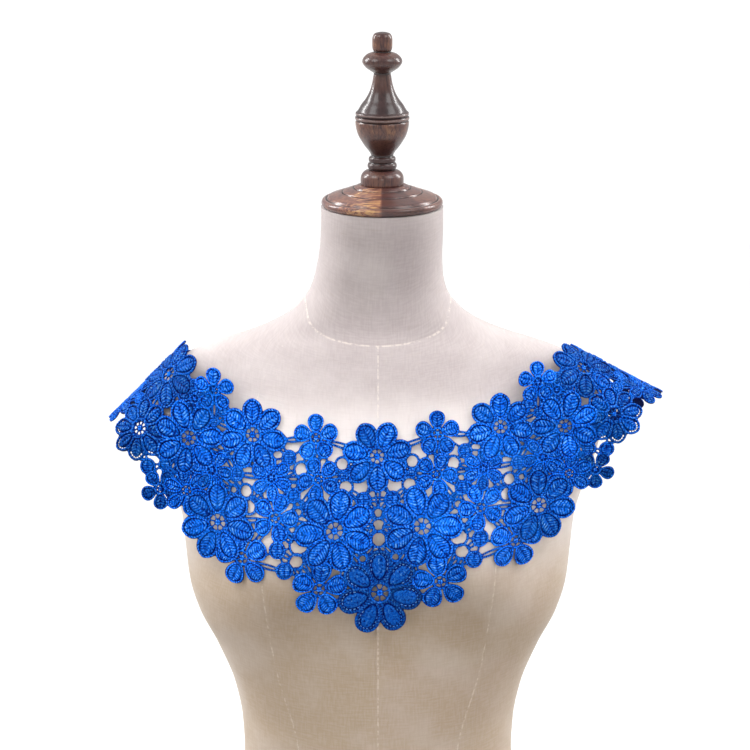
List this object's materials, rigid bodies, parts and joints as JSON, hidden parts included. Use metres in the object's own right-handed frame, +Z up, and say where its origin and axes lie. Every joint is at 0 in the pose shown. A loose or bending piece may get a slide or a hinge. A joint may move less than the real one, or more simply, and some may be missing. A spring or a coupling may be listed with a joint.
{
  "type": "lace collar on a limbless dress form",
  "caption": "Openwork guipure lace collar of raised flowers, laid over the shoulders of a linen-covered limbless dress form with a turned wooden neck cap and finial.",
  "frame": {"origin": "middle of the dress form's flat underside", "axes": "+Z up along the form, -Y out of the chest, +X towards the form's left shoulder"},
  "size_m": [0.4884, 0.2403, 0.8771],
  "materials": {
    "blue_thread": "satin stitched thread",
    "linen": "woven matte",
    "turned_wood": "stained and lacquered"
  },
  "bodies": {
    "root": {"lace_collar": "blue_thread", "form_torso": "linen", "neck_cap": "turned_wood", "finial": "turned_wood"}
  },
  "joints": []
}
